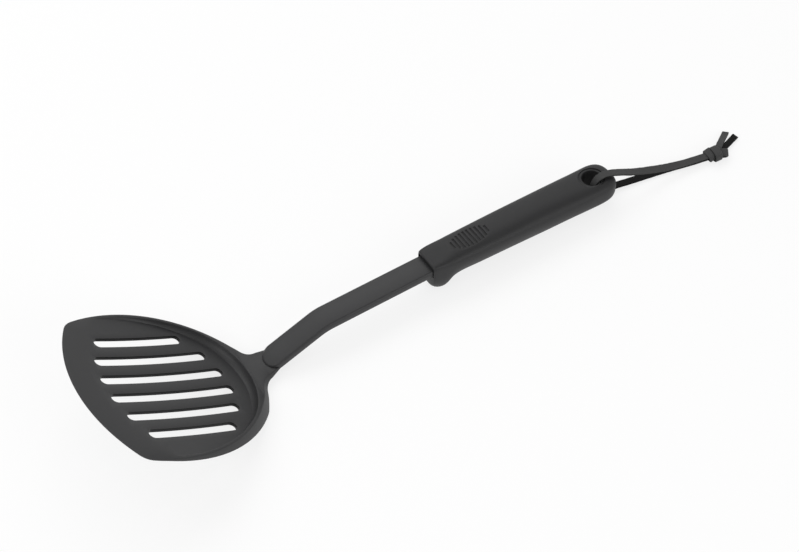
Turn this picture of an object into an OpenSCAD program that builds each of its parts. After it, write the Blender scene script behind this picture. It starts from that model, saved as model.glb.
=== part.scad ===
// Slotted kitchen turner: a nylon head, a handle with a hard core and a soft sleeve,
// and a leather hanging lace.
// Millimetres. +X runs along the handle towards the hanging hole, +Z is up.
// The origin lies on the table, under the middle of the tool's length, where the tool
// rests on the heel of its blade and on its finger guard.

/* [Overall] */
// Length from the front edge of the blade to the end of the handle
overall_length = 341; // [338:1:344]
// Length of the handle
handle_length = 133; // [131:1:135]
// Distance from the front of the handle back to the heel of the blade
heel_distance = 110; // [109:1:111]
// Height of the rim plane above the table at the heel
heel_height = 2.2; // [2:0.1:2.6]

/* [Blade] */
// Tilt of the blade above the table, in degrees
blade_tilt = 30.5; // [30:0.5:31]
// Widest part of the blade
blade_width = 107.2; // [106:0.2:108]
// Distance along the blade from the heel to its widest part
widest_at = 73; // [72:0.5:74]
// Thickness of the plate
plate_t = 1.6; // [1.4:0.1:2]
// Thickness of the dished floor
floor_t = 2.2; // [2:0.1:2.4]
// Thickness of the plate's front edge
edge_t = 0.9; // [0.7:0.1:1.2]
// Radius of the arc along each side
side_r = 78; // [77:0.5:79]
// Radius of the front edge
front_r = 88; // [84:1:96]
// Radius of the two front corners
corner_r = 11; // [9:1:13]
// Radius of the fillets where the sides run into the neck
neck_fillet_r = 11; // [10:1:12]
// Lean of the outer wall, in degrees, so that it flares out below the rim at the back
wall_lean = 17; // [12:1:20]

/* [Dish] */
// Radius of the spherical floor
dish_r = 500; // [490:5:510]
// Depth of the floor below the rim plane
dish_depth = 5.4; // [5.2:0.1:5.6]
// Distance along the blade from the heel to the deepest point
dish_at = 28; // [27:1:29]
// Distance along the blade from the heel to the back of the rim's inner edge
rim_back = 8.8; // [8.4:0.2:9.4]
// Radius of the back of the rim's inner edge
rim_back_r = 50; // [48:1:54]
// Width of the rim's top along the sides
rim_w = 1.8; // [1.5:0.1:2.2]
// Radius of the cove between the rim and the floor
cove_r = 7; // [6:0.5:7.5]

/* [Slots] */
// Number of slots
slot_count = 6; // [4, 6]
// Width of a slot
slot_w = 6; // [5.5:0.5:6.5]
// Distance between the middles of two slots
slot_pitch = 13.5; // [13:0.5:14]
// Radius of the circle through the rear ends of the slots
slot_rear_r = 47; // [46:0.5:48]
// Distance along the blade from the heel to the centre of that circle
slot_rear_at = 66.5; // [65.5:0.5:67]
// Radius of the circle through the front ends of the slots
slot_front_r = 68.8; // [68:0.2:70]
// Distance along the blade from the heel to the centre of that circle
slot_front_at = 28; // [27:0.5:28.5]

/* [Neck and shank] */
// Width of the shank
shank_w = 14.8; // [14.4:0.2:15]
// Thickness of the shank
shank_t = 5; // [4.4:0.2:5.4]
// Height of the shank's top above the table
shank_top = 21; // [20.8:0.1:21.2]
// Distance from the front of the handle to the bend above the neck
bend_distance = 70; // [69:1:71]
// Slope of the neck, in degrees
neck_slope = 20; // [19.5:0.5:20.5]
// Radius of the bend
bend_r = 24; // [12:1:36]
// Top of the web at the foot of the neck
web_top = 6.6; // [6.2:0.1:7]
// Length of the tang inside the handle
tang_length = 70; // [50:1:80]

/* [Handle] */
// Distance of the hanging hole from the end of the handle
hole_inset = 14.7; // [14.2:0.1:15.2]
// Radius of the hanging hole
hole_r = 6.2; // [6:0.1:6.4]
// Radius of the eye round the hanging hole
eye_r = 7.8; // [7.6:0.1:8]
// Width of the core
core_w = 15; // [14.8:0.1:15.4]
// Bottom of the core
core_bottom = 12; // [11.5:0.5:12.5]
// Top of the core
core_top = 22.2; // [22:0.1:22.4]
// Depth of the eye below the sleeve
recess = 1; // [0.6:0.1:1.2]
// Depth of the mouth where the shank goes into the sleeve
mouth_depth = 3; // [2:0.5:4]
// Gap beside the shank in that mouth
mouth_gap = 0.6; // [0.5:0.1:0.7]
// Number of grooves in the thumb rest
groove_count = 10; // [8:1:10]

/* [Lace] */
// Width of the flat lace
lace_w = 4.8; // [4.4:0.1:5]
// Thickness of the lace
lace_t = 1.6; // [1.4:0.1:1.7]

/* [Hidden] */

// Gap between pieces that sit in one another
fit_gap = 0.1;
// A length that reaches past everything
far = 400;

// Places along the tool
handle_end = overall_length / 2;
handle_front = handle_end - handle_length;
heel_x = handle_front - heel_distance;
bend_x = handle_front - bend_distance;
hole_x = handle_end - hole_inset;
core_front = handle_front + mouth_depth;

// Blade outline, as distances forward of the heel and sideways, on arcs that meet tangentially
neck_half = shank_w / 2 + 1.6;
front_at = (heel_x + overall_length / 2) / cos(blade_tilt);
side_mid = [widest_at, blade_width / 2 - side_r];
front_mid = [front_at - front_r, 0];
fillet_rise = neck_half + neck_fillet_r;
fillet_reach = sqrt(pow(side_r + neck_fillet_r, 2) - pow(fillet_rise - side_mid.y, 2));
fillet_mid = [widest_at - fillet_reach, fillet_rise];
corner_mid = circles_meet(side_mid, side_r - corner_r, front_mid, front_r - corner_r);
// How far the outline runs back along the neck
neck_run = 10;
// Distance along the blade from the heel to where the plate starts to thin
thin_from = 98;

// Inner edge of the rim: an arc along each side and one round the back
rim_side_r = side_r - rim_w;
rim_mid = [rim_back + rim_back_r, 0];

// Radius of the circle where the dish meets the rim plane
dish_edge_r = sqrt(2 * dish_r * dish_depth - dish_depth * dish_depth);

// Handle sections: distance from the front, half width and the height where that is reached,
// then bottom, bottom squareness, top and top squareness
sections = [
    [0,     8.7, 16,   5.4, 2.4, 24.5, 7.0],
    [1.2,   9.0, 16,   3.4, 2.4, 24.9, 8.0],
    [5,     9.6, 17,   0.2, 2.4, 25.0, 7.0],
    [9,    10.1, 18,   0.0, 2.4, 25.1, 5.0],
    [14,   10.4, 19,   3.3, 2.0, 25.4, 3.4],
    [20,   10.6, 19.2, 4.0, 1.8, 25.6, 3.0],
    [32,   11.0, 19.2, 3.5, 1.8, 25.6, 2.7],
    [55,   11.4, 18.8, 2.5, 1.8, 25.4, 2.6],
    [80,   11.8, 17.4, 1.6, 1.8, 25.1, 2.6],
    [100,  12.1, 16.2, 2.7, 2.0, 24.2, 2.8],
    [110,  12.2, 15.6, 4.1, 2.4, 23.5, 3.0],
    [handle_length - hole_inset, 12.1, 15.2, 4.8, 2.8, 23.1, 3.4]
];
eye_section = sections[len(sections) - 1];
// Sides of a section, rings in each stretch between two sections, and rings round the end
section_sides = 32;
stretch_rings = 3;
end_rings = 9;
// Roundness of the end, seen from above and at its upper and lower edges
end_plan_round = 2.8;
end_top_round = 2.9;
end_bottom_round = 5;

// Thumb rest: middle from the handle's front, half length, half width, groove width and depth
thumb_at = 29.9;
thumb_half_l = 13;
thumb_half_w = 6;
groove_w = 1.2;
groove_depth = 0.8;

// Lace: the direction across it where it lies flat, and its routes from the middle of the bore,
// as distance along the handle from the hole, distance sideways, height and twist
lace_side = [0.14, 0.99, 0];
upper_route = [
    [0.4, -0.9, 14.2, 0],
    [0.7, -1.5, 17.6, 0],
    [1.3, -2.2, 20.6, 0],
    [2.2, -2.8, 22.9, 0],
    [3.8, -3.3, 24.2, 2],
    [6.2, -3.6, 24.8, 4],
    [9.2, -4.2, 24.5, 5],
    [12.4, -4.6, 23.6, 6],
    [17.6, -5.0, 21.3, 8],
    [23.6, -5.6, 18.4, 11],
    [29.6, -6.1, 15.7, 16],
    [35.6, -6.6, 13.3, 22],
    [44.6, -7.4, 10.2, 28],
    [54, -8.4, 7.5, 26],
    [63, -9.5, 5.7, 19],
    [72, -10.7, 4.8, 13],
    [81.2, -12.1, 4.4, 8]
];
lower_route = [
    [0.4, -0.9, 13.6, 0],
    [0.7, -0.2, 10.2, 0],
    [1.4, 0.7, 7.2, 0],
    [2.5, 1.5, 4.9, 0],
    [4.2, 2, 3.7, 0],
    [6.2, 1.9, 3.0, 0],
    [11, 1.5, 2.9, 0],
    [16, 1.2, 2.7, 0],
    [22, 0.7, 2.4, 2],
    [29, -0.3, 1.9, 3],
    [36, -1.4, 1.6, 4],
    [45, -2.9, 1.4, 4],
    [54, -4.6, 1.3, 4],
    [63, -6.6, 1.3, 4],
    [72, -8.7, 1.3, 4],
    [80.6, -10.5, 1.5, 4]
];
// Knot: its middle from the hole, its turn, the size of a wrap and how far apart the two wraps are
knot_mid = [88, -13.8, 4.5];
knot_turn = -16;
wrap_r = 4.4;
wrap_spread = 7.4;
wrap_turns = [22, -12];
// Routes of the two cut ends, like those of the lace
tails = [
    [[91, -12, 5, 0], [96, -9, 4.2, 0], [101, -5.8, 2.6, 0], [105, -3.2, 1.4, 0], [108, -1.2, 1.1, 0]],
    [[91, -13.4, 4, 0], [96, -12, 3.3, 0], [101.5, -10.2, 2, 0], [106, -8.6, 1.2, 0], [110, -7.2, 1.1, 0]]
];

// The meeting point, on the outer side, of two circles given by centre and radius
function circles_meet(a, ra, b, rb) =
    let (
        gap = norm(b - a),
        u = (b - a) / gap,
        along = (ra * ra - rb * rb + gap * gap) / (2 * gap)
    )
    a + along * u + sqrt(ra * ra - along * along) * [-u.y, u.x] * (u.x < 0 ? -1 : 1);

// Points on an arc round mid, from the direction of p to the direction of q
function arc(mid, r, p, q, steps) =
    let (a = atan2(p.y - mid.y, p.x - mid.x), b = atan2(q.y - mid.y, q.x - mid.x))
    [for (k = [0 : steps]) mid + r * [cos(a + (b - a) * k / steps), sin(a + (b - a) * k / steps)]];

// One side of the blade outline, from the neck to the middle of the front edge
half_outline = concat(
    [[fillet_mid.x - neck_run, shank_w / 2 - fit_gap]],
    arc(fillet_mid, neck_fillet_r, [fillet_mid.x, 0], side_mid, 8),
    arc(side_mid, side_r, fillet_mid, corner_mid, 16),
    arc(corner_mid, corner_r, 2 * corner_mid - side_mid, 2 * corner_mid - front_mid, 8),
    arc(front_mid, front_r, corner_mid, [front_at, 0], 8)
);
other_half = [for (k = [len(half_outline) - 2 : -1 : 0]) [half_outline[k].x, -half_outline[k].y]];

// A place on the rim plane seen from above
function plan(p) = [heel_x - p.x * cos(blade_tilt), p.y];

// A place on the rim plane seen along the leaning outer wall
function along_wall(p) = [
    plan(p).x * cos(wall_lean) + (heel_height + p.x * sin(blade_tilt)) * sin(wall_lean),
    p.y
];

// Height of the neck's underside
function neck_under(x) = shank_top - shank_t - (bend_x - x) * tan(neck_slope);

// Value of one column of the section table at a distance from the handle's front, on a smooth curve
function section_row(x) = max([for (k = [0 : len(sections) - 2]) sections[k][0] <= x ? k : 0]);
function slope_at(k, c) =
    k == 0 || k == len(sections) - 1 ? 0
    : (sections[k + 1][c] - sections[k - 1][c]) / (sections[k + 1][0] - sections[k - 1][0]);
function section_value(x, c) =
    let (
        k = section_row(x),
        run = sections[k + 1][0] - sections[k][0],
        u = min(1, (x - sections[k][0]) / run)
    )
    (2 * pow(u, 3) - 3 * u * u + 1) * sections[k][c]
    + (pow(u, 3) - 2 * u * u + u) * run * slope_at(k, c)
    + (3 * u * u - 2 * pow(u, 3)) * sections[k + 1][c]
    + (pow(u, 3) - u * u) * run * slope_at(k + 1, c);

// A rounded-box section, from the columns of the section table
function super(v, squareness) = sign(v) * pow(abs(v), 2 / squareness);
function section_ring(x, half_w, wide_z, bottom, bottom_sq, top, top_sq) = [
    for (k = [0 : section_sides - 1])
    let (
        a = 360 * k / section_sides,
        sq = sin(a) < 0 ? bottom_sq : top_sq,
        reach = sin(a) < 0 ? wide_z - bottom : top - wide_z
    )
    [handle_front + x, half_w * super(cos(a), sq), wide_z + reach * super(sin(a), sq)]
];
function plain_ring(x) =
    let (v = [for (c = [1 : 6]) section_value(x, c)])
    section_ring(x, v[0], v[1], v[2], v[3], v[4], v[5]);
// A ring round the end, where the plan closes in a rounded shape and the edges round over
function eased(u, roundness) = pow(1 - pow(u, roundness), 1 / roundness);
function end_ring(k) =
    let (
        v = eye_section,
        u = sin(86 * k / end_rings),
        bottom = v[2] - (v[2] - v[3]) * eased(u, end_bottom_round),
        top = v[2] + (v[5] - v[2]) * eased(u, end_top_round)
    )
    section_ring(v[0] + hole_inset * u, v[1] * eased(u, end_plan_round), v[2], bottom, v[4], top, v[6]);

// Skin over a list of rings that all have the same number of points, closed by a face at each end
module skin(rings) {
    n = len(rings[0]);
    polyhedron(
        points = [for (r = rings) each r],
        faces = concat(
            [[for (k = [0 : n - 1]) k]],
            [for (i = [0 : len(rings) - 2], k = [0 : n - 1], half = [0, 1])
                let (a = i * n + k, b = i * n + (k + 1) % n)
                half == 0 ? [a, a + n, b + n] : [a, b + n, b]],
            [[for (k = [n - 1 : -1 : 0]) (len(rings) - 1) * n + k]]
        )
    );
}

// Everything drawn in the blade's own frame: forward is -X, the rim plane is z = 0
module blade_frame() {
    translate([heel_x, 0, heel_height]) rotate([0, blade_tilt, 0]) children();
}

// Leaning prism through the blade outline, from the table up
module outline_prism() {
    intersection() {
        rotate([0, -wall_lean, 0]) linear_extrude(far, center = true)
            polygon([for (p = concat(half_outline, other_half)) along_wall(p)]);
        translate([-far / 2, -far / 2, 0]) cube([far, far, far / 2]);
    }
}

// Block of the blade's frame between a depth and the rim plane
module under_rim(depth) {
    translate([-far / 2, -far / 2, -depth]) cube([far, far, depth]);
}

// Ball whose lower cap is the dish floor, grown by a wall thickness
module dish_ball(grow) {
    translate([-dish_at, 0, dish_r - dish_depth]) rotate([90, 0, 0]) sphere(dish_r + grow, $fn = 200);
}

// Round space inside an arc of the rim, with a cove at its foot
module rim_space(mid, r) {
    translate([-mid.x, mid.y, 0]) rotate_extrude($fn = 160) {
        translate([0, -20]) square([r - cove_r, 60]);
        intersection() {
            translate([r - cove_r, 0]) circle(cove_r, $fn = 64);
            translate([0, -20]) square([far, 20]);
        }
        square([r, 40]);
    }
}

// Hollow of the dish: the ball, held inside the three arcs of the rim
module dish_hollow() {
    intersection() {
        dish_ball(0);
        rim_space(rim_mid, rim_back_r);
        rim_space(side_mid, rim_side_r);
        rim_space([side_mid.x, -side_mid.y], rim_side_r);
    }
}

// Slots square to the blade, from the circle through their rear ends to the one through their front ends
module slots() {
    for (k = [0 : slot_count - 1]) {
        y = (k - (slot_count - 1) / 2) * slot_pitch;
        rear = slot_rear_at - sqrt(slot_rear_r * slot_rear_r - y * y) + slot_w / 2;
        front = slot_front_at + sqrt(slot_front_r * slot_front_r - y * y) - slot_w / 2;
        blade_frame() translate([0, y, -15]) linear_extrude(25) {
            translate([-front, -slot_w / 2]) square([front - rear, slot_w]);
            translate([-front, 0]) circle(slot_w / 2, $fn = 48);
            translate([-rear, 0]) circle(slot_w / 2, $fn = 48);
        }
    }
}

// What is cut from the plate's underside to thin it towards the front edge
module front_thinning() {
    lift = atan((plate_t - edge_t) / (front_at - thin_from));
    translate([-thin_from, 0, -plate_t]) rotate([0, lift, 0])
        translate([-far, -far / 2, -50]) cube([far, far, 50]);
}

// Blade with its rim and slots
module blade() {
    difference() {
        intersection() {
            outline_prism();
            blade_frame() {
                under_rim(plate_t);
                intersection() {
                    dish_ball(floor_t);
                    under_rim(20);
                }
            }
        }
        blade_frame() front_thinning();
    }
}

// Side view of the shank and the neck, drawn along X and Z
module spine_profile() {
    foot = heel_x - 3;
    ease = bend_r * tan(neck_slope / 2);
    bend_mid = [bend_x + ease, shank_top - bend_r];
    polygon(concat(
        [[core_front - fit_gap, shank_top]],
        [for (k = [0 : 5]) bend_mid + bend_r * [-sin(neck_slope * k / 5), cos(neck_slope * k / 5)]],
        [[foot, neck_under(foot) + shank_t]],
        [[foot, neck_under(foot)]],
        [[bend_x, shank_top - shank_t]],
        [[core_front - fit_gap, shank_top - shank_t]]
    ));
}

// Shank and neck, ending in a round tongue on the web
module spine() {
    tongue_mid = heel_x + 10;
    intersection() {
        rotate([90, 0, 0]) linear_extrude(shank_w, center = true) spine_profile();
        linear_extrude(60) {
            translate([tongue_mid, -shank_w / 2]) square([far, shank_w]);
            translate([tongue_mid, 0]) circle(shank_w / 2, $fn = 64);
        }
    }
}

// Web at the foot of the neck, trimmed by the blade outline
module web() {
    rear = plan([fillet_mid.x - neck_run, 0]).x;
    front = heel_x - 9;
    intersection() {
        outline_prism();
        translate([front, -far / 2, 0]) cube([rear - front, far, web_top]);
    }
}

// Everything below the line of the neck's underside
module under_neck() {
    ramp = bend_x - (shank_top - shank_t) / tan(neck_slope);
    rotate([90, 0, 0]) linear_extrude(far, center = true)
        polygon([[ramp, -50], [ramp, 0], [bend_x, shank_top - shank_t], [bend_x, -50]]);
}

// The nylon moulding: blade, web, neck, shank and tang
module turner_head() {
    color("#3c3c3d") difference() {
        union() {
            difference() {
                union() {
                    blade();
                    web();
                }
                under_neck();
            }
            spine();
            tang(0);
        }
        blade_frame() dish_hollow();
        slots();
    }
}

// Tang, or the socket for it with a gap all round
module tang(gap) {
    tang_w = shank_w - 3.4;
    tang_t = shank_t - 0.8;
    start = core_front - 2;
    translate([start, -tang_w / 2 - gap, shank_top - shank_t / 2 - tang_t / 2 - gap])
        cube([tang_length + gap, tang_w + 2 * gap, tang_t + 2 * gap]);
}

// Outside of the core, or the room for it with a gap all round
module core_form(gap, front) {
    translate([front, -core_w / 2 - gap, core_bottom - gap])
        cube([hole_x - front, core_w + 2 * gap, core_top - core_bottom + 2 * gap]);
    translate([hole_x, 0, 0]) cylinder(r = eye_r + gap, h = 60, $fn = 96);
}

// Hard core with the tang socket and the eye of the hanging hole
module handle_core() {
    eye_bottom = eye_section[3] + recess;
    color("#2f2f30") difference() {
        intersection() {
            core_form(0, core_front);
            translate([0, -far / 2, eye_bottom]) cube([far, far, core_top - eye_bottom]);
        }
        tang(fit_gap);
        translate([hole_x, 0, -1]) cylinder(r = hole_r, h = 60, $fn = 96);
    }
}

// Mouth of the sleeve, which leaves the shank a gap above and at the sides
module mouth() {
    w = shank_w + 2 * mouth_gap;
    bottom = shank_top - shank_t - fit_gap;
    translate([handle_front - 1, -w / 2, bottom])
        cube([mouth_depth + 1, w, core_top + mouth_gap - bottom]);
}

// Soft sleeve over the core, with the finger guard and the thumb rest
module grip_sleeve() {
    rings = concat(
        [for (k = [0 : len(sections) - 2], j = [0 : stretch_rings - 1])
            plain_ring(sections[k][0] + (sections[k + 1][0] - sections[k][0]) * j / stretch_rings)],
        [for (k = [0 : end_rings]) end_ring(k)]
    );
    color("#363637") difference() {
        skin(rings);
        core_form(fit_gap, core_front - fit_gap);
        mouth();
        thumb_grooves();
        translate([-far / 2, -far / 2, -50]) cube([far, far, 50]);
    }
}

// Grooves across the thumb rest, shorter towards its two ends
module thumb_grooves() {
    pitch = 2 * thumb_half_l / groove_count;
    for (k = [0 : groove_count - 1]) {
        x = (k - (groove_count - 1) / 2) * pitch;
        reach = thumb_half_w * sqrt(1 - pow(x / thumb_half_l, 2));
        at = thumb_at + x;
        translate([handle_front + at - groove_w / 2, -reach, section_value(at, 5) - groove_depth])
            cube([groove_w, 2 * reach, 5]);
    }
}

// A stretch of flat lace swept along a route
module lace_stretch(route) {
    w = lace_w / 2;
    t = lace_t / 2;
    c = lace_t / 4;
    upper = [[w, t - c], [w - c, t], [c - w, t], [-w, t - c]];
    corners = concat(upper, [for (q = upper) -q]);
    last = len(route) - 1;
    skin([
        for (k = [0 : last])
        let (
            p = route[k],
            step = route[min(k + 1, last)] - route[max(k - 1, 0)],
            ahead = [step[0], step[1], step[2]] / norm([step[0], step[1], step[2]]),
            up = cross(ahead, lace_side) / norm(cross(ahead, lace_side)),
            left = cross(up, ahead),
            across = cos(p[3]) * left + sin(p[3]) * up,
            out = cos(p[3]) * up - sin(p[3]) * left
        )
        [for (q = corners) [hole_x + p[0], p[1], p[2]] + q.x * across + q.y * out]
    ]);
}

module lace_upper() {
    color("#3f3f40") lace_stretch(upper_route);
}

module lace_lower() {
    color("#3f3f40") lace_stretch(lower_route);
}

// A flat wrap of the knot, as a ring that stands across the lace
module wrap() {
    rotate([0, 90, 0]) difference() {
        cylinder(r = wrap_r, h = lace_w, center = true, $fn = 48);
        cylinder(r = wrap_r - lace_t, h = lace_w + 1, center = true, $fn = 48);
    }
}

// Knot that closes the loop: two wraps round the doubled lace, what they hold, and two cut ends
module lace_knot() {
    color("#3f3f40") {
        translate([hole_x, 0, 0] + knot_mid) rotate([0, 0, knot_turn]) {
            for (k = [0, 1])
                translate([(k - 0.5) * wrap_spread, 0, 0]) rotate([0, 0, wrap_turns[k]]) wrap();
            rotate([0, 90, 0])
                cylinder(r = wrap_r - lace_t + 0.3, h = wrap_spread + lace_w, center = true, $fn = 48);
        }
        for (route = tails) lace_stretch(route);
    }
}

turner_head();
handle_core();
grip_sleeve();
lace_upper();
lace_lower();
lace_knot();
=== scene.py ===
# %% [markdown]
# # A slotted kitchen turner with a soft grip and a leather lace
# The tool is a dark nylon moulding (blade, neck and shank) in a soft-grip handle, and a leather
# lace hangs from the handle's end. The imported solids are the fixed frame: they give the size,
# the place and the bodies that move. Everything below dresses that frame, in the same metres.

# %% Load the frame
import functools
from math import asin, atan2, ceil, copysign, cos, pi, radians, sin, sqrt, tan

import bmesh
import bpy
from mathutils import Matrix, Vector, noise


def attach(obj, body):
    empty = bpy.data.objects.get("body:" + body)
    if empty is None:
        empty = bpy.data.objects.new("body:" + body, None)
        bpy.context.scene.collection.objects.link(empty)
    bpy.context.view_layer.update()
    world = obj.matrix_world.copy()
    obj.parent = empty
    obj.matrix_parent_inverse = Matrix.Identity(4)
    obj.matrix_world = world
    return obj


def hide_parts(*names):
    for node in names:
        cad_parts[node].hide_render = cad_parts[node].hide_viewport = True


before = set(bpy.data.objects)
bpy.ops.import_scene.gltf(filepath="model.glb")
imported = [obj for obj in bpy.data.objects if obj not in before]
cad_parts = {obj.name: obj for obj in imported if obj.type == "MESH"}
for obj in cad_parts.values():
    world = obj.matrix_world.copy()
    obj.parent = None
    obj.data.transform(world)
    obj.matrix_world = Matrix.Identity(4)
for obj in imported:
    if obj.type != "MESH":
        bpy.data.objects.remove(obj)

scene = bpy.context.scene
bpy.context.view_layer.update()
print("frame nodes:", sorted(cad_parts))

# %% [markdown]
# ## Camera
# The photograph looks down on the tool from the blade's side, with a longish lens. The place and
# the three angles come from matching the tool's known lines to the picture, so they are written
# as numbers. A camera could be aimed with a constraint, but a plain matrix is easier to check:
# its columns are the camera's right, up and backward directions.

# %% Camera at the photograph's angle
MM = 0.001
SENSOR_MM = 36.0
PICTURE_W_PX = 799
FOCAL_PX = 1350
CAMERA_PLACE = Vector((-222.7, -416.4, 617.0))
CAMERA_AZIMUTH = radians(-30.2)
CAMERA_ELEVATION = radians(51.0)
CAMERA_ROLL = radians(-2.61)
CLIP_START_M = 0.01


def add_object(name, data):
    thing = bpy.data.objects.new(name, data)
    scene.collection.objects.link(thing)
    return thing


def make_camera():
    across = Vector((cos(CAMERA_AZIMUTH), sin(CAMERA_AZIMUTH), 0))
    level = Vector((sin(CAMERA_AZIMUTH), -cos(CAMERA_AZIMUTH), 0))
    back = level * cos(CAMERA_ELEVATION) + Vector((0, 0, sin(CAMERA_ELEVATION)))
    turned = across @ Matrix.Rotation(-CAMERA_ROLL, 3, back)
    axes = Matrix((turned, back.cross(turned), back)).transposed()
    data = bpy.data.cameras.new("camera")
    data.sensor_width = SENSOR_MM
    data.lens = FOCAL_PX / PICTURE_W_PX * SENSOR_MM
    data.clip_start = CLIP_START_M
    camera = add_object("camera", data)
    camera.matrix_world = Matrix.Translation(CAMERA_PLACE * MM) @ axes.to_4x4()
    scene.camera = camera
    return data


print(f"lens {make_camera().lens:.1f} mm")

# %% [markdown]
# ## Materials
# Dark plastics and leather meet here, and only their surfaces tell them apart. The nylon comes out of a
# spark-eroded mould, so it is satin with a very fine grain; its slot walls are smoother and painted near
# black as painted shade. The grip is a soft elastomer: rougher, and so matt that it only shows a broad
# sheen; its thumb rest's grooves are painted darker as painted shade. The lace is split leather, dyed
# through, with a nap on its faces and darker cut edges; its lower strand and one cut end are painted darker
# as painted shade. Image textures could carry such grain, but here each finish is a Principled shader
# with noise on Object coordinates, whose scale is worked out from a size in millimetres, so it fits any mesh.

# %% Helpers for colours and nodes
# The sockets that a Mix node uses for colours
MIX_COLOUR_A, MIX_COLOUR_B, MIX_COLOUR_OUT = 6, 7, 2
ROUGHNESS_SPREAD = 0.05
MOTTLE_DETAIL, GRAIN_DETAIL, BUMP_STRENGTH = 3.0, 4.0, 0.5


def srgb(hex_code):
    """An sRGB hex value as linear red, green, blue and alpha."""
    parts = [int(hex_code[k:k + 2], 16) / 255 for k in (1, 3, 5)]
    linear = [c / 12.92 if c <= 0.04045 else ((c + 0.055) / 1.055) ** 2.4 for c in parts]
    return (*linear, 1.0)


def add_node(tree, kind, settings=(), values=(), links=()):
    """Adds a node: settings are its attributes, values its sockets, links their sources."""
    node = tree.nodes.new(kind)
    for name, value in dict(settings).items():
        setattr(node, name, value)
    for name, value in dict(values).items():
        node.inputs[name].default_value = value
    for name, source in dict(links).items():
        tree.links.new(node.inputs[name], source)
    return node


def grained(name, colour, paler, roughness, ior, grain_mm, grain_depth_mm, mottle_mm, gloss, sheen=0.0):
    """A dull dark material: faint mottling of colour and roughness, and a fine grain as bump."""
    material = bpy.data.materials.new(name)
    material.use_nodes = True
    tree = material.node_tree
    shader = tree.nodes["Principled BSDF"]
    shader.inputs["IOR"].default_value = ior
    shader.inputs["Specular IOR Level"].default_value = gloss
    shader.inputs["Sheen Weight"].default_value = sheen
    place = add_node(tree, "ShaderNodeTexCoord").outputs["Object"]
    # The grains of a noise on these coordinates are about one metre wide, divided by its scale
    mottle, grain = (add_node(tree, "ShaderNodeTexNoise", values={"Scale": 1 / (size * MM), "Detail": detail},
                              links={"Vector": place}).outputs["Fac"]
                     for size, detail in ((mottle_mm, MOTTLE_DETAIL), (grain_mm, GRAIN_DETAIL)))
    blend = add_node(tree, "ShaderNodeMix", {"data_type": "RGBA"},
                     {MIX_COLOUR_A: srgb(colour), MIX_COLOUR_B: srgb(paler)}, {"Factor": mottle})
    tree.links.new(shader.inputs["Base Color"], blend.outputs[MIX_COLOUR_OUT])
    ends = {"To Min": roughness - ROUGHNESS_SPREAD, "To Max": roughness + ROUGHNESS_SPREAD}
    spread = add_node(tree, "ShaderNodeMapRange", values=ends, links={"Value": mottle})
    tree.links.new(shader.inputs["Roughness"], spread.outputs["Result"])
    relief = {"Distance": grain_depth_mm * MM, "Strength": BUMP_STRENGTH}
    bump = add_node(tree, "ShaderNodeBump", values=relief, links={"Height": grain})
    tree.links.new(shader.inputs["Normal"], bump.outputs["Normal"])
    return material


# %% The finishes
# Nylon 66, injection moulded in a spark-eroded tool: satin, its grain drawn coarse here
nylon = grained("nylon_66_spark_texture", "#29292a", "#2d2d2e", 0.46, 1.53, 0.35, 0.02, 9, 0.35)
# The same nylon on the slots' walls: smoother, and near black as painted shade
slot_nylon_painted_shade = grained("nylon_66_painted_slot_shade", "#070708", "#0b0b0c", 0.25, 1.53, 0.35, 0.004, 9, 0.2)
# Polypropylene core, moulded smooth: a little darker than the nylon
core_plastic = grained("polypropylene_core", "#1e1e1f", "#222223", 0.5, 1.49, 0.4, 0.01, 8, 0.35)
# Thermoplastic elastomer, moulded matt: hardly a highlight
soft_grip = grained("elastomer_soft_touch", "#1c1c1d", "#202021", 0.55, 1.5, 0.3, 0.02, 7, 0.4)
# The same elastomer in the thumb rest's grooves: a finer grain, and darker as painted shade
groove_grip_painted_shade = grained("elastomer_painted_groove_shade", "#151516", "#19191a", 0.55, 1.5, 0.3, 0.01, 7, 0.33)
# Split leather, dyed through: a nap on the faces catches light at a slant
lace_face = grained("split_leather_dyed", "#3a3a3a", "#464646", 0.85, 1.45, 0.5, 0.08, 2.2, 0.3, 0.1)
# The lower strand and one cut end of the lace: darker as painted shade
lace_painted_shade = grained("split_leather_painted_shade", "#141414", "#1c1c1c", 0.9, 1.45, 0.5, 0.08, 2.2, 0.2)
# The cut edge shows the compressed fibres, the darkest part
lace_edge = grained("split_leather_cut_edge", "#0f0f0f", "#161616", 0.9, 1.45, 0.35, 0.1, 1.2, 0.2)
finishes = (nylon, slot_nylon_painted_shade, core_plastic, soft_grip, groove_grip_painted_shade, lace_face, lace_painted_shade, lace_edge)
print("materials:", [m.name for m in finishes])

# %% [markdown]
# ## Rings, sweeps and pieces
# Nearly every shape here is a ring of points that is pulled from place to place: along the lace,
# round the rim, down a slot's wall. `start_ring` makes the first ring, `pull_ring` extrudes its edges
# and puts the new points where they belong, and `pull_rings` goes through a whole list of rings. All
# meshes are drawn in millimetres and scaled to metres once, when they become a piece.

# %% Ring and piece helpers
# Edges that turn by more than this are shaded as sharp
CREASE_DEG = 32


def neighbours(ring, closed):
    return zip(ring, ring[1:] + ring[:1] if closed else ring[1:])


def start_ring(bm, points, closed=True):
    """A ring, or an open chain, of new vertices joined by edges."""
    verts = [bm.verts.new(p) for p in points]
    for pair in neighbours(verts, closed):
        bm.edges.new(pair)
    return verts


def ring_edges(bm, ring, closed=True):
    return [bm.edges.get(pair) for pair in neighbours(ring, closed)]


def pull_ring(bm, ring, points, closed=True):
    """Extrudes a ring's edges and moves the new ring to the given points."""
    made = bmesh.ops.extrude_edge_only(bm, edges=ring_edges(bm, ring, closed))["geom"]
    fresh = {v for v in made if isinstance(v, bmesh.types.BMVert)}
    new_ring = [next(e.other_vert(v) for e in v.link_edges if e.other_vert(v) in fresh) for v in ring]
    for vert, point in zip(new_ring, points):
        vert.co = point
    return new_ring


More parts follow.
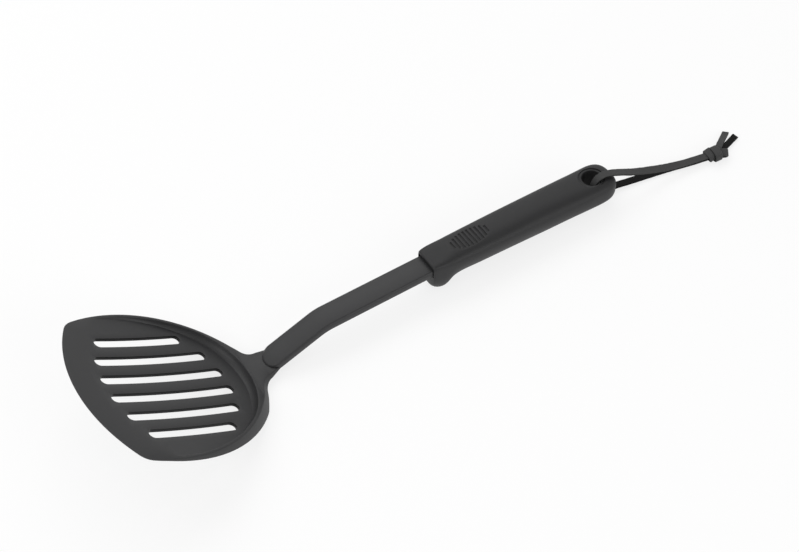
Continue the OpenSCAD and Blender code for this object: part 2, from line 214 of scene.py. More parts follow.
def pull_rings(bm, rings, closed=True):
    """Pulls a ring through a list of rings; returns the first and the last."""
    first = ring = start_ring(bm, rings[0], closed)
    for points in rings[1:]:
        ring = pull_ring(bm, ring, points, closed)
    return first, ring


def cap_ring(bm, ring):
    return bmesh.ops.contextual_create(bm, geom=ring_edges(bm, ring))


def faced_out(bm):
    bmesh.ops.recalc_face_normals(bm, faces=bm.faces)
    return bm


def mesh_object(name, bm):
    mesh = bpy.data.meshes.new(name)
    bm.to_mesh(mesh)
    bm.free()
    return add_object(name, mesh)


def make_piece(name, bm, materials, body, nodes):
    """Turns a mesh in millimetres into a piece that rides on a body and stands for its nodes."""
    bmesh.ops.scale(bm, vec=(MM, MM, MM), verts=bm.verts)
    piece = mesh_object(name, bm)
    mesh = piece.data
    mesh.polygons.foreach_set("use_smooth", [True] * len(mesh.polygons))
    mesh.set_sharp_from_angle(angle=radians(CREASE_DEG))
    for material in materials:
        mesh.materials.append(material)
    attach(piece, body)
    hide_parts(*nodes)
    low, high = (Vector(piece.bound_box[k]) / MM for k in (0, 6))
    print(f"{name}: {len(mesh.polygons)} faces, {[round(x, 1) for x in high - low]} mm")
    return piece


# %% [markdown]
# ## The lace
# A flat leather lace, 4.8 mm wide, runs down through the hanging hole and back, and an overhand knot
# closes the loop. It lies as it would on a table: over the handle's edge, then down, with its knot
# and its two cut ends on the table top. A curve with a bevel profile could draw it, but a swept mesh
# lets each place have its own twist. The points are the route of the lace in the solids.

# %% Route of the lace
HOLE_X = 155.8
LACE_W = 4.8
LACE_T = 1.6
LACE_SIDE = Vector((0.14, 0.99, 0))
# Distance along the handle from the hole, distance sideways, height, and twist in degrees
UPPER_ROUTE = [
    (0.4, -0.9, 14.2, 0), (0.7, -1.5, 17.6, 0), (1.3, -2.2, 20.6, 0), (2.2, -2.8, 22.9, 0),
    (3.8, -3.3, 24.2, 2), (6.2, -3.6, 24.8, 4), (9.2, -4.2, 24.5, 5), (12.4, -4.6, 23.6, 6),
    (17.6, -5.0, 21.3, 8), (23.6, -5.6, 18.4, 11), (29.6, -6.1, 15.7, 16), (35.6, -6.6, 13.3, 22),
    (44.6, -7.4, 10.2, 28), (54, -8.4, 7.5, 26), (63, -9.5, 5.7, 19), (72, -10.7, 4.8, 13),
    (81.2, -12.1, 4.4, 8), (85, -12.7, 4.2, 6),
]
LOWER_ROUTE = [
    (0.4, -0.9, 13.6, 0), (0.7, -0.2, 10.2, 0), (1.4, 0.7, 7.2, 0), (2.5, 1.5, 4.9, 0),
    (4.2, 2, 3.7, 0), (6.2, 1.9, 3.0, 0), (11, 1.5, 2.9, 0), (16, 1.2, 2.7, 0), (22, 0.7, 2.4, 2),
    (29, -0.3, 1.9, 3), (36, -1.4, 1.6, 4), (45, -2.9, 1.4, 4), (54, -4.6, 1.3, 4), (63, -6.6, 1.3, 4),
    (72, -8.7, 1.3, 4), (80.6, -10.5, 1.5, 4), (84.5, -11.8, 2.4, 4),
]


def cubic(u, start, end, first_slope, last_slope):
    """A smooth run from start to end with the given slopes at its ends."""
    return (start * (2 * u ** 3 - 3 * u * u + 1) + first_slope * (u ** 3 - 2 * u * u + u)
            + end * (3 * u * u - 2 * u ** 3) + last_slope * (u ** 3 - u * u))


def smooth_route(route, steps=5):
    """Points on a smooth curve through a route's points, with the twist eased alike."""
    rows = [Vector(r) for r in (route[0], *route, route[-1])]
    made = []
    for a, b, c, d in zip(rows, rows[1:], rows[2:], rows[3:]):
        made += [cubic(j / steps, b, c, (c - a) / 2, (d - b) / 2) for j in range(steps)]
    return made + [rows[-1]]


upper_line = smooth_route(UPPER_ROUTE)
lower_line = smooth_route(LOWER_ROUTE)
print("points on the strands:", len(upper_line), len(lower_line))

# %% [markdown]
# A lace that is cut from a hide never has perfect edges: they wander by a tenth or two of a
# millimetre. Noise along the length moves the two edges a little, so that the outline is not ruled.
# The faces of the section that make the cut edges get the darker material.

# %% Sweep of a flat lace
EDGE_WANDER = 0.16
# Steps through the noise from ring to ring, and between the two edges
WANDER_STEP, WANDER_APART = 0.9, 7.3
# Corners of the section, as shares of half the width and half the thickness
SECTION = [(1, -0.45), (1, 0.45), (0.86, 1), (0.3, 1.0), (-0.3, 1.0), (-0.86, 1),
           (-1, 0.45), (-1, -0.45), (-0.86, -1), (-0.3, -1), (0.3, -1), (0.86, -1)]
EDGE_SIDES = (0, 6, 7, 11)
# Places of the finishes in a lace piece's list
FACE, EDGE, PAINTED_SHADE = 0, 1, 2
# Points nearer than this are one point
SAME_POINT = 1e-3


def sweep_lace(bm, line, side, seed, closed=False, width=LACE_W, face=FACE, edge=EDGE, slant=0):
    """Pulls the section along a line of (x, y, z, twist); side is the direction across it."""
    rings = []
    last = len(line) - 1
    for k, row in enumerate(line):
        here = row.to_3d()
        after, before = line[min(k + 1, last)], line[max(k - 1, 0)]
        if closed:
            after, before = line[(k + 1) % len(line)], line[k - 1]
        ahead = (after - before).to_3d().normalized()
        up = ahead.cross(side).normalized()
        left = up.cross(ahead)
        twist = radians(row.w)
        across = left * cos(twist) + up * sin(twist)
        out = up * cos(twist) - left * sin(twist)
        spots = [Vector((k * WANDER_STEP, seed, s * WANDER_APART)) for s in (1, -1)]
        wander = [EDGE_WANDER * noise.noise(spot) for spot in spots]
        points = []
        cut = slant if k == last else 0
        for u, v in SECTION:
            half = width / 2 + (wander[0] if u > 0 else wander[1])
            points.append(here + across * u * half + out * v * LACE_T / 2 - ahead * u * cut)
        rings.append(points)
    first = ring = start_ring(bm, rings[0])
    for points in rings[1:] + rings[:1] * closed:
        ring = pull_ring(bm, ring, points)
        for k, made in enumerate(ring_edges(bm, ring)):
            made.link_faces[0].material_index = edge if k in EDGE_SIDES else face
    if closed:
        bmesh.ops.remove_doubles(bm, verts=first + ring, dist=SAME_POINT)
    else:
        for end in (first, ring):
            cap_ring(bm, end)["faces"][0].material_index = EDGE


def shift_to_hole(line):
    return [Vector((row[0] + HOLE_X, row[1], row[2], row[3])) for row in line]


def make_strand(name, node, line, seed, face):
    bm = bmesh.new()
    sweep_lace(bm, shift_to_hole(line), LACE_SIDE, seed)
    return make_piece(name, faced_out(bm), (face, lace_edge), "lace", (node,))


upper_strand = make_strand("strand_upper", "lace_upper", upper_line, 1, lace_face)
# The lower strand's faces are painted shade, darker than the upper strand's
lower_strand = make_strand("strand_lower", "lace_lower", lower_line, 2, lace_painted_shade)

# %% [markdown]
# ## The knot
# The two strands go through an overhand knot. One sees a wrap that lies across them, a second wrap beside
# it and a little on top of it, a folded bight that sticks out to the right, and two cut ends. One strip could
# be led through itself, but so tight a curve would cut into itself. Each part is the same lace instead, swept
# round a squashed loop or along a short line, so the knot has the lace's width and edges.

# %% Knot and cut ends
# Middle of each loop, the direction across its band, half its length and half its height
LOOPS = [
    ((84.6, -12.2, 4.0), (0.938, -0.068, 0.335), 3.5, 2.3),
    ((87.6, -13.9, 4.8), (0.97, -0.12, 0.1), 4.0, 3.2),
    ((91.0, -14.4, 3.7), (0.48, 0.77, 0.42), 4.4, 2.0),
]
WRAP_COUNT = 2
LOOP_SQUARENESS = 3.2
LOOP_STEPS = 44
# Where the noise of the edges starts
LOOP_SEED, TAIL_SEED = 10, 20
TAIL_W = 4.2
TAILS = [
    [(87.5, -14.0, 4.6, 0), (90.5, -12.2, 5.2, -8), (96, -8.6, 4.4, -14), (101, -5.3, 2.9, -14),
     (104.5, -3, 1.9, -10), (107.5, -1.0, 1.4, -6)],
    [(88, -14.6, 3.0, 0), (91, -13.6, 3.6, 25), (96, -12, 3.5, 42), (101.5, -10.2, 2.9, 46),
     (106, -8.6, 2.4, 44), (110, -7.2, 2.2, 40)],
]
# How far one corner of each cut end stands ahead of its middle, and the finish of its faces; the second end's
# is painted shade
TAIL_SLANTS, TAIL_FACES = (0.5, 1.1), (FACE, PAINTED_SHADE)
TAIL_STEPS = 4


def loop_line(middle, across, half_l, half_h):
    """A squashed loop without twist, as upright as the direction across its band lets it be."""
    side = Vector(across).normalized()
    high = (Vector((0, 0, 1)) - side * side.z).normalized()
    long = high.cross(side)
    points = []
    for k in range(LOOP_STEPS):
        a = 2 * pi * k / LOOP_STEPS
        c, s = (copysign(abs(t) ** (2 / LOOP_SQUARENESS), t) for t in (cos(a), sin(a)))
        place = Vector(middle) + long * half_l * c + high * half_h * s
        points.append(Vector((*place, 0)))
    return points, side


def make_knot():
    bm = bmesh.new()
    for number, loop in enumerate(LOOPS):
        line, side = loop_line(*loop)
        # The wraps show their dark cut edges; the bight's are pressed over to the face's colour
        edge = EDGE if number < WRAP_COUNT else FACE
        sweep_lace(bm, shift_to_hole(line), side, LOOP_SEED + number, closed=True, edge=edge)
    for number, (tail, slant, face) in enumerate(zip(TAILS, TAIL_SLANTS, TAIL_FACES)):
        line = shift_to_hole(smooth_route(tail, TAIL_STEPS))
        sweep_lace(bm, line, LACE_SIDE, TAIL_SEED + number, width=TAIL_W, face=face, slant=slant)
    # The third finish, for the second cut end's faces, is painted shade
    sides = (lace_face, lace_edge, lace_painted_shade)
    return make_piece("overhand_knot", faced_out(bm), sides, "lace", ("lace_knot",))


knot = make_knot()

# %% [markdown]
# Both strands start in the bore of the hanging hole, and leave it at its upper and its lower mouth.


# %% [markdown]
# ## The blade, in its own frame
# The blade rises from the table at about 30 degrees. On it, s is the distance forward of the heel, y the
# distance sideways and w the height above the plane of the rim. The dish is a shallow ball of 500 mm
# radius, held in by a rim whose inner edge is three arcs, with a cove at its foot. The sizes
# are those of the solids. A Boolean of a ball and a prism could make it, but then every edge would be
# sharp and the facets long and thin, so the rings are laid along the rim instead.

# %% Sizes of the blade
OVERALL_L = 341
HANDLE_L = 133
HANDLE_FRONT = OVERALL_L / 2 - HANDLE_L
# Distances from the handle's front to the heel and to the neck's bend
HEEL_BACK, BEND_BACK = 110, 70
HEEL_X = HANDLE_FRONT - HEEL_BACK
HEEL_H = 2.2
TILT = radians(30.5)
BLADE_W = 107.2
WIDEST_AT = 73
PLATE_T = 1.6
FLOOR_T = 2.2
EDGE_T = 0.9
THIN_FROM = 98
SIDE_R, FRONT_R, CORNER_R, NECK_FILLET_R = 78, 88, 11, 11
WALL_LEAN = tan(radians(17))
DISH_R, DISH_DEPTH, DISH_AT = 500, 5.4, 28
RIM_BACK, RIM_W, COVE_R = 8.8, 1.8, 7
SHANK_W, SHANK_T, SHANK_TOP = 14.8, 5, 21
BEND_X = HANDLE_FRONT - BEND_BACK
BEND_R = 24
NECK_SLOPE = radians(20)
WEB_TOP = 6.6
FRONT_AT = (HEEL_X + OVERALL_L / 2) / cos(TILT)
DISH_EDGE_R = sqrt(2 * DISH_R * DISH_DEPTH - DISH_DEPTH ** 2)


def on_blade(s, y, w):
    """A place in the blade's frame as a place in the tool's."""
    x = HEEL_X - s * cos(TILT) + w * sin(TILT)
    z = HEEL_H + s * sin(TILT) + w * cos(TILT)
    return Vector((x, y, z))


def circles_meet(a, ra, b, rb):
    """The left meeting point of two circles given by centre and radius."""
    gap = b - a
    along = (ra ** 2 - rb ** 2 + gap.length_squared) / (2 * gap.length)
    ahead = gap.normalized()
    left = Vector((-ahead.y, ahead.x)) * (1 if ahead.x > 0 else -1)
    return a + ahead * along + left * sqrt(ra ** 2 - along ** 2)


def even_steps(low, high, count):
    return [low + (high - low) * k / count for k in range(count + 1)]


def arc(mid, r, start, end, steps):
    """Points on an arc from the direction of start to the direction of end."""
    a, b = (atan2(p.y - mid.y, p.x - mid.x) for p in (start, end))
    return [mid + r * Vector((cos(t), sin(t))) for t in even_steps(a, b, steps)]


def both_halves(half):
    """Half an outline and its mirror image."""
    return half + [Vector((p.x, -p.y)) for p in reversed(half[:-1])]


print(f"front edge {FRONT_AT:.1f} mm forward of the heel, dish edge radius {DISH_EDGE_R:.1f} mm")

# %% [markdown]
# ### Outline and heights
# The outline is five arcs a side that meet tangentially. Heights are plain functions of the place
# seen from above: the rim's plane with the flat web behind it, the ball of the dish, and the underside,
# which is flat where the tool stands on its heel and rises along the neck.

# %% Outline and height functions
SIDE_MID = Vector((WIDEST_AT, BLADE_W / 2 - SIDE_R))
FRONT_MID = Vector((FRONT_AT - FRONT_R, 0))
NECK_FLARE = 1.6
NECK_HALF = SHANK_W / 2 + NECK_FLARE
NECK_RUN = 10
FILLET_RISE = NECK_HALF + NECK_FILLET_R
FILLET_REACH = sqrt((SIDE_R + NECK_FILLET_R) ** 2 - (FILLET_RISE - SIDE_MID.y) ** 2)
FILLET_MID = Vector((WIDEST_AT - FILLET_REACH, FILLET_RISE))
CORNER_MID = circles_meet(SIDE_MID, SIDE_R - CORNER_R, FRONT_MID, FRONT_R - CORNER_R)
NECK_SINK = 0.1
UNDER_NECK_LIFT = 0.15
RAMP_X = BEND_X - (SHANK_TOP - SHANK_T) / tan(NECK_SLOPE)
BALL_MID = on_blade(DISH_AT, 0, DISH_R - DISH_DEPTH)
CREASE_SOFTNESS = 0.3
FILLET_STEPS, SIDE_STEPS, CORNER_STEPS, FRONT_STEPS = 16, 44, 14, 24
# Rounds after which a place on the leaning wall has settled
WALL_ROUNDS = 6


def blade_outline():
    """The closed outline on the rim's plane, from the neck round the left side."""
    half = [Vector((FILLET_MID.x - NECK_RUN, SHANK_W / 2 - NECK_SINK))]
    half += arc(FILLET_MID, NECK_FILLET_R, Vector((FILLET_MID.x, 0)), SIDE_MID, FILLET_STEPS)
    half += arc(SIDE_MID, SIDE_R, FILLET_MID, CORNER_MID, SIDE_STEPS)[1:]
    start, end = (2 * CORNER_MID - mid for mid in (SIDE_MID, FRONT_MID))
    half += arc(CORNER_MID, CORNER_R, start, end, CORNER_STEPS)[1:]
    half += arc(FRONT_MID, FRONT_R, CORNER_MID, Vector((FRONT_AT, 0)), FRONT_STEPS)[1:]
    return both_halves(half)


def rim_z(x):
    return HEEL_H + (HEEL_X - x) * tan(TILT)


def top_z(x, y):
    """The rim's plane, running softly into the flat web behind it."""
    gap = rim_z(x) - WEB_TOP
    return WEB_TOP + (gap + sqrt(gap * gap + CREASE_SOFTNESS ** 2)) / 2


def ball_z(x, y, grow=0.0):
    r = DISH_R + grow
    return BALL_MID.z - sqrt(r * r - (x - BALL_MID.x) ** 2 - y * y)


def bottom_z(x, y):
    """The underside: ball, plate that thins to the front edge, heel on the table, and neck."""
    s = (HEEL_X - x) / cos(TILT)
    thinned = max(0.0, min(1.0, (s - THIN_FROM) / (FRONT_AT - THIN_FROM)))
    plate = PLATE_T - (PLATE_T - EDGE_T) * thinned
    plate_z = rim_z(x) - plate / cos(TILT)
    neck_z = (x - RAMP_X) * tan(NECK_SLOPE) + UNDER_NECK_LIFT
    return max(0.0, neck_z, min(plate_z, ball_z(x, y, FLOOR_T)))


def on_wall(p, height):
    """Where the leaning outer wall through an outline point meets a height function."""
    start = on_blade(p.x, p.y, 0)
    place = start.copy()
    for _ in range(WALL_ROUNDS):
        place.z = height(place.x, place.y)
        place.x = start.x - (place.z - start.z) * WALL_LEAN
    return place


outline = blade_outline()
print("outline points:", len(outline))

# %% [markdown]
# ### Rim and cove
# Columns run round the rim from one front corner to the other, and rows run from the lip down the
# cove to the floor. Both side arcs and the arc at the back touch, so the lip has no kink. Every row
# ends on the circle where the dish runs out towards the front edge.

# %% Rim rows
RIM_SIDE_R = SIDE_R - RIM_W
BACK_REACH = WIDEST_AT - RIM_BACK
BACK_R = (RIM_SIDE_R ** 2 - BACK_REACH ** 2 - SIDE_MID.y ** 2) / (2 * (RIM_SIDE_R - BACK_REACH))
BACK_MID = Vector((RIM_BACK + BACK_R, 0))
DISH_MID = Vector((DISH_AT, 0))
SIDE_COLUMNS, BACK_COLUMNS, COVE_ROWS = 40, 48, 7
LIP_ROUND, LIP_MIDDLE = 0.35, 0.3
FLOOR_MARGIN = 0.5
# The cove's shortest run across, how far each row is spread apart, and the sine of its steepest end
LEAST_RUN, ROW_SPREAD, STEEPEST = 0.8, 0.02, 0.985
# First guess of a cove's inset, and the rounds that settle it
FIRST_INSET, INSET_ROUNDS = 2.0, 5
# A cove that turns by less than this has its rows spaced evenly
LEAST_SWEEP = 0.02


@functools.cache
def rim_row(inset):
    """Points on the rim's plane, a given distance inside the rim's inner edge."""
    corner = circles_meet(SIDE_MID, RIM_SIDE_R - inset, DISH_MID, DISH_EDGE_R)
    touch = 2 * BACK_MID - SIDE_MID
    left = arc(SIDE_MID, RIM_SIDE_R - inset, corner, BACK_MID, SIDE_COLUMNS)
    back = arc(BACK_MID, BACK_R - inset, touch, Vector((RIM_BACK, 0)), BACK_COLUMNS // 2)
    return both_halves(left + back[1:])


def floor_depth(p):
    """Depth of the dish floor below the rim's plane; none outside the dish."""
    square = DISH_R ** 2 - (p - DISH_MID).length_squared
    return max(0.0, sqrt(square) - (DISH_R - DISH_DEPTH))


def rim_point(column, inset):
    """A row's point in one column; insets are rounded so that rows can be used again."""
    return rim_row(round(inset, 3))[column]


def column_profile(column):
    """Insets and depths down one column: rounded lip, cove, then a little of the floor."""
    inset = FIRST_INSET
    for _ in range(INSET_ROUNDS):
        depth = floor_depth(rim_point(column, inset))
        sweep = asin(min(depth / COVE_R, STEEPEST))
        inset = COVE_R * (1 - cos(sweep))
    run = max(inset, LEAST_RUN)
    profile = [(-LIP_ROUND, 0.0), (-LIP_MIDDLE * LIP_ROUND, LIP_MIDDLE * LIP_ROUND)]
    for k in range(1, COVE_ROWS + 1):
        turn = sweep * k / COVE_ROWS
        share = k / COVE_ROWS
        if sweep > LEAST_SWEEP:
            share = (1 - cos(turn)) / (1 - cos(sweep))
        profile.append((run * share + ROW_SPREAD * k, COVE_R * sin(turn)))
    # The last row lies on the floor itself, however deep that is
    profile.append((run + FLOOR_MARGIN, DISH_DEPTH))
    return profile


def rim_grid():
    grid = []
    for column in range(len(rim_row(0))):
        points = [(rim_point(column, inset), depth) for inset, depth in column_profile(column)]
        grid.append([on_blade(p.x, p.y, -min(depth, floor_depth(p))) for p, depth in points])
    return list(zip(*grid))


rim_rows = rim_grid()
print("rim rows and columns:", len(rim_rows), len(rim_rows[0]))

# %% [markdown]
# ### Filling between rings
# A region between rings is laid flat, filled with triangles and sliced by upright planes into a grid.
# The diagonals are dissolved and each cell is filled again, which leaves neat cells in the middle and
# exact rings at the edges. Then the old points go back to their heights, and the new ones drop onto
# a height function. That keeps the slots' outlines exact and still lets the floor curve.

# %% Fill, slice and drop
def even_cuts(low, high, step):
    return [low + step * k for k in range(1, ceil((high - low) / step))]


def is_slanted(edge):
    step = edge.verts[1].co - edge.verts[0].co
    return abs(step.x) > SAME_POINT and abs(step.y) > SAME_POINT


def fill_between(bm, edges, height, x_cuts=(), y_cuts=()):
    """Fills and slices a region between rings, and puts the new points on a height function."""
    heights = {v: v.co.z for v in bm.verts}
    for vert in {v for e in edges for v in e.verts}:
        vert.co.z = 0
    made = bmesh.ops.triangle_fill(bm, edges=edges, use_beauty=True, normal=(0, 0, 1))["geom"]
    faces = {f for f in made if isinstance(f, bmesh.types.BMFace)}
    for axis, cuts in ((Vector((1, 0, 0)), x_cuts), (Vector((0, 1, 0)), y_cuts)):
        for cut in cuts:
            rims = {e for f in faces for e in f.edges} | {v for f in faces for v in f.verts}
            whole = [*faces, *rims]
            out = bmesh.ops.bisect_plane(bm, geom=whole, dist=1e-4, plane_co=axis * cut, plane_no=axis)
            faces |= {f for f in out["geom"] if isinstance(f, bmesh.types.BMFace)}
            faces = {f for f in faces if f.is_valid}
    inner = {e for f in faces for e in f.edges if all(g in faces for g in e.link_faces)}
    slanted = [e for e in inner if len(e.link_faces) == 2 and is_slanted(e)]
    bmesh.ops.dissolve_edges(bm, edges=slanted, use_verts=False)
    loose = [v for v in bm.verts if v not in heights and len(v.link_edges) == 2]
    bmesh.ops.dissolve_verts(bm, verts=loose)
    cells = [f for f in bm.faces if len(f.verts) > 4 and all(v.co.z == 0 for v in f.verts)]
    bmesh.ops.triangulate(bm, faces=cells)
    for vert in bm.verts:
        vert.co.z = heights[vert] if vert in heights else height(vert.co.x, vert.co.y)


# %% [markdown]
# ### Slots
# Six slots with round ends, square to the blade. Each is a ring on the floor that rolls over a small
# rounded edge and drops to the underside. A Boolean could cut them, but rings keep the rounded edges even.
# The walls below the rounding take the second material, nylon painted near black as painted shade.

# %% Slot rings
SLOT_COUNT, SLOT_W, SLOT_PITCH = 6, 6, 13.5
SLOT_REAR_R, SLOT_REAR_AT = 47, 66.5
SLOT_FRONT_R, SLOT_FRONT_AT = 68.8, 28
SLOT_ROUND, SLOT_FOOT_ROUND = 0.4, 0.2
SLOT_END_STEPS = 12
SLOT_SIDE_STEP = 4
# Share of its radius by which a rounding's middle lies in from both of its faces
ROUND_MIDDLE = 0.29


def slot_ring(y, rear, front, grow):
    """A slot's outline, grown by a distance, on the rim's plane."""
    r = SLOT_W / 2 + grow
    sides = max(2, round((front - rear) / SLOT_SIDE_STEP))
    turns = even_steps(0, pi, SLOT_END_STEPS)
    points = [Vector((front + r * sin(t), y + r * cos(t))) for t in turns]
    points += [Vector((x, y - r)) for x in even_steps(front, rear, sides)[1:-1]]
    points += [Vector((rear - r * sin(t), y - r * cos(t))) for t in turns]
    points += [Vector((x, y + r)) for x in even_steps(rear, front, sides)[1:-1]]
    return points


def add_slot(bm, number):
    """Adds a slot's walls; returns the edges of its upper and lower rings."""
    y = (number - (SLOT_COUNT - 1) / 2) * SLOT_PITCH
    rear = SLOT_REAR_AT - sqrt(SLOT_REAR_R ** 2 - y * y) + SLOT_W / 2
    front = SLOT_FRONT_AT + sqrt(SLOT_FRONT_R ** 2 - y * y) - SLOT_W / 2
    # How far each ring is grown and how deep it lies, from the floor down to the underside
    levels = [(SLOT_ROUND, 0), (ROUND_MIDDLE * SLOT_ROUND, ROUND_MIDDLE * SLOT_ROUND), (0, SLOT_ROUND),
              (0, FLOOR_T - SLOT_FOOT_ROUND), (SLOT_FOOT_ROUND, FLOOR_T)]
    ring = first = None
    for grow, deep in levels:
        points = [on_blade(p.x, p.y, -floor_depth(p) - deep) for p in slot_ring(y, rear, front, grow)]
        if deep in (0, FLOOR_T):
            for p in points:
                p.z = bottom_z(p.x, p.y) if deep else ball_z(p.x, p.y)
        ring = pull_ring(bm, ring, points) if ring else start_ring(bm, points)
        first = first or ring
        # Faces below the rounding take the near-black nylon, which is painted shade
        for face in {f for e in ring_edges(bm, ring) for f in e.link_faces}:
            face.material_index = 1 if deep >= SLOT_ROUND else 0
    return ring_edges(bm, first), ring_edges(bm, ring)


# %% [markdown]
# ### Putting the blade together
# The rim rows and the slots come first, then the floor between them. The outer wall starts on the lip,
# rolls over a rounded edge and goes down, leaning outwards, to the underside.

# %% Blade mesh
WALL_ROUND = 0.45
WALL_ROUND_SHARE = 0.42
FOOT_ROUND, FOOT_ROUND_SHARE = 0.3, 0.3
FLOOR_STEP = 4
RUN_OUT_STEPS = 60
# Slices about the crease between the rim's plane and the web, and how far those below reach behind it
CREASE_CUTS = (-2, -0.7, 0, 0.7, 2)
UNDER_REACH = 30


def wall_rings():
    """Rings from the lip over the rounded edge and down the outer wall."""
    tops = [on_wall(p, top_z) for p in outline]
    feet = [on_wall(p, bottom_z) for p in outline]
    columns = []
    for k, (top, foot) in enumerate(zip(tops, feet)):
        ahead = (tops[(k + 1) % len(tops)] - tops[k - 1]).to_2d().normalized()
        inward = Vector((-ahead.y, ahead.x, 0))
        r = min(WALL_ROUND, WALL_ROUND_SHARE * (top.z - foot.z))
        down = Vector((WALL_LEAN, 0, -1))
        lip = top + inward * r
        lip.z = top_z(lip.x, lip.y)
        roll = top + inward * ROUND_MIDDLE * r + down * ROUND_MIDDLE * r
        foot_r = min(FOOT_ROUND, FOOT_ROUND_SHARE * (top.z - foot.z))
        under = foot + inward * foot_r
        under.z = bottom_z(under.x, under.y)
        columns.append((lip, roll, top + down * r, foot - down * foot_r, under))
    return list(zip(*columns))


def free_edges(bm, left_out=()):
    """Edges that bound what is still open."""
    return [e for e in bm.edges if len(e.link_faces) == 1 and e not in left_out]


def blade_mesh():
    bm = bmesh.new()
    ring = pull_rings(bm, rim_rows, closed=False)[1]
    floor_edges = ring_edges(bm, ring, closed=False)
    ends = [Vector(((HEEL_X - v.co.x) / cos(TILT), v.co.y)) for v in (ring[-1], ring[0])]
    run_out = arc(DISH_MID, DISH_EDGE_R, ends[0], ends[1], RUN_OUT_STEPS)[1:-1]
    chain = [ring[-1]] + [bm.verts.new(on_blade(p.x, p.y, 0)) for p in run_out] + [ring[0]]
    floor_edges += [bm.edges.new(pair) for pair in zip(chain, chain[1:])]
    slot_feet = set()
    for number in range(SLOT_COUNT):
        upper, lower = add_slot(bm, number)
        floor_edges += upper
        slot_feet.update(lower)
    low, high = on_blade(FRONT_AT, 0, 0).x, HEEL_X
    y_cuts = [SLOT_PITCH / 2 * k for k in range(-SLOT_COUNT - 1, SLOT_COUNT + 2)]
    fill_between(bm, floor_edges, ball_z, even_cuts(low, high, FLOOR_STEP), y_cuts)
    wall_foot = set(ring_edges(bm, pull_rings(bm, wall_rings())[1]))
    crease = on_blade((WEB_TOP - HEEL_H) / sin(TILT), 0, 0).x
    fill_between(bm, free_edges(bm, slot_feet | wall_foot), top_z, [crease + cut for cut in CREASE_CUTS])
    fill_between(bm, free_edges(bm), bottom_z, even_cuts(low, crease + UNDER_REACH, FLOOR_STEP / 2), y_cuts)
    return faced_out(bm)


# %% [markdown]
# ### Neck, shank and tang
# The neck is a bar with a rounded tongue at its foot, bent up to the shank, and the tang runs on into
# the handle. The bar is drawn flat, as rings with rounded upper edges, and every point then moves up or
# down to the bar's side view, so the bend takes the rounded edges with it.

# %% Neck mesh
TONGUE_MID = HEEL_X + 10
MOUTH_DEPTH = 3
CORE_FRONT = HANDLE_FRONT + MOUTH_DEPTH
FIT_GAP = 0.1
BAR_END = CORE_FRONT - FIT_GAP
TANG_W, TANG_T, TANG_L = SHANK_W - 3.4, SHANK_T - 0.8, 70
TANG_OVERLAP, TANG_ROUND = 2, 0.6
NECK_ROUND_TOP, NECK_ROUND_UNDER = 1.1, 0.7
NECK_STATIONS, TONGUE_STEPS = 60, 32
# Shares of its radius by which a third of a rounding's turn lies in from its nearer and its further face
ROUND_NEAR, ROUND_FAR = 0.13, 0.5


def spine_z(x, y=0.0):
    """Top of the neck and shank, with a round bend."""
    ease = BEND_R * tan(NECK_SLOPE / 2)
    if x >= BEND_X + ease:
        return SHANK_TOP
    if x <= BEND_X + ease - BEND_R * sin(NECK_SLOPE):
        return SHANK_TOP - (BEND_X - x) * tan(NECK_SLOPE)
    return SHANK_TOP - BEND_R + sqrt(BEND_R ** 2 - (x - BEND_X - ease) ** 2)


def under_spine_z(x, y=0.0):
    return spine_z(x) - SHANK_T


def bar_outline(inset):
    """The bar from above, from its rear right corner round the tongue to the rear left one."""
    r = SHANK_W / 2 - inset
    turns = even_steps(0, pi, TONGUE_STEPS)
    stations = even_steps(TONGUE_MID, BAR_END, NECK_STATIONS)[1:]
    points = [Vector((x, -r)) for x in reversed(stations)]
    points += [Vector((TONGUE_MID - r * sin(t), -r * cos(t))) for t in turns]
    return points + [Vector((x, r)) for x in stations]


def neck_mesh():
    bm = bmesh.new()
    top, under = NECK_ROUND_TOP, NECK_ROUND_UNDER
    near, far, middle = ROUND_NEAR * top, ROUND_FAR * top, ROUND_MIDDLE * under
    levels = [(top, spine_z, 0), (far, spine_z, -near), (near, spine_z, -far), (0, spine_z, -top),
              (0, under_spine_z, under), (middle, under_spine_z, middle), (under, under_spine_z, 0)]
    rings = [[Vector((p.x, p.y, height(p.x) + drop)) for p in bar_outline(inset)]
             for inset, height, drop in levels]
    cuts = even_steps(TONGUE_MID, BAR_END, NECK_STATIONS)[:-1]
    for ring, height in zip(pull_rings(bm, rings), (spine_z, under_spine_z)):
        fill_between(bm, ring_edges(bm, ring), height, cuts)
    return faced_out(bm)


def box_mesh(low, high):
    bm = bmesh.new()
    bmesh.ops.create_cube(bm, size=1)
    bmesh.ops.scale(bm, vec=high - low, verts=bm.verts)
    bmesh.ops.translate(bm, vec=(low + high) / 2, verts=bm.verts)
    return bm


def round_edges(bm, edges, r, segments=2):
    bmesh.ops.bevel(bm, geom=edges, offset=r, segments=segments, profile=0.5, affect="EDGES", material=-1)


def tang_mesh():
    middle = Vector((CORE_FRONT - TANG_OVERLAP + TANG_L / 2, 0, SHANK_TOP - SHANK_T / 2))
    half = Vector((TANG_L, TANG_W, TANG_T)) / 2
    bm = box_mesh(middle - half, middle + half)
    round_edges(bm, bm.edges, TANG_ROUND)
    return bm


# %% Join the three into one moulding
# Edges shorter than this, which a cut can leave behind, are closed up
SLIVER = 0.002


